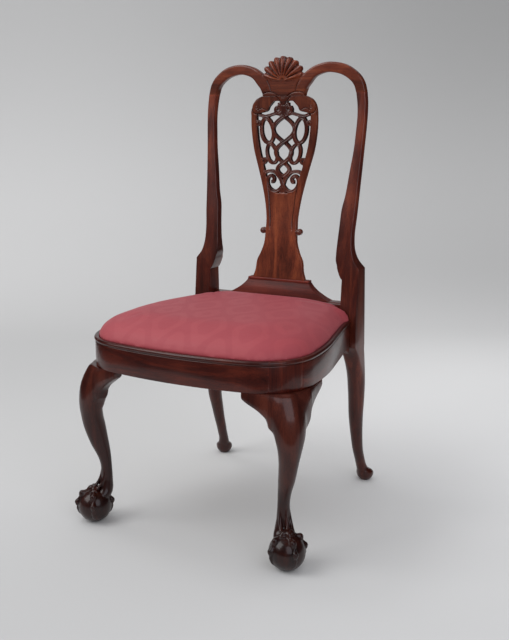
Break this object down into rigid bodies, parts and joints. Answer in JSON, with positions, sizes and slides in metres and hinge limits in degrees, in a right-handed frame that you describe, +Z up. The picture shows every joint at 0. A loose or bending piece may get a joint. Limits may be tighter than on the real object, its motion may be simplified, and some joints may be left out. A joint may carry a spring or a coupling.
{
  "type": "side chair",
  "caption": "Carved side chair: looped crest rail with shell, pierced strapwork splat, drop-in silk seat in a rounded frame, cabriole legs on claw-and-ball feet, pad feet behind",
  "frame": {"origin": "on the floor, at the middle of the chair's width and depth", "axes": "+Z up, the chair faces -Y, +X is to the right when seen from the front"},
  "size_m": [0.5336, 0.556, 0.985],
  "materials": {
    "mahogany": "solid mahogany, stained red-brown and french polished",
    "rail_mahogany": "solid mahogany, darkened with age and wax, french polished",
    "crest_mahogany": "solid mahogany, faded to orange-brown, french polished",
    "oak": "plain sawn oak, unfinished",
    "jute": "woven jute webbing, natural",
    "linen": "plain woven sackcloth, natural",
    "stuffing": "curled hair under calico",
    "silk": "crimson silk damask, woven tone on tone"
  },
  "bodies": {
    "frame": {"crest_rail": "crest_mahogany", "left_rear_post": "mahogany", "right_rear_post": "mahogany", "splat": "mahogany", "splat_shoe": "rail_mahogany", "rear_seat_rail": "rail_mahogany", "front_seat_rail": "rail_mahogany", "left_side_rail": "rail_mahogany", "right_side_rail": "rail_mahogany", "front_left_leg": "mahogany", "front_right_leg": "mahogany", "left_knee_bracket_front": "mahogany", "left_knee_bracket_side": "mahogany", "right_knee_bracket_front": "mahogany", "right_knee_bracket_side": "mahogany", "left_rear_bracket": "mahogany", "right_rear_bracket": "mahogany", "front_left_block": "oak", "front_right_block": "oak", "rear_left_block": "oak", "rear_right_block": "oak"},
    "slip_seat": {"slip_frame_front": "oak", "slip_frame_rear": "oak", "slip_frame_left": "oak", "slip_frame_right": "oak", "webbing_front_to_back": "jute", "webbing_side_to_side": "jute", "sackcloth": "linen", "seat_stuffing": "stuffing", "seat_cover": "silk"}
  },
  "joints": [
    {"name": "seat_lift", "type": "slide", "parent": "frame", "child": "slip_seat", "axis": [0, 0, 1], "range_m": [0, 0.05]}
  ]
}
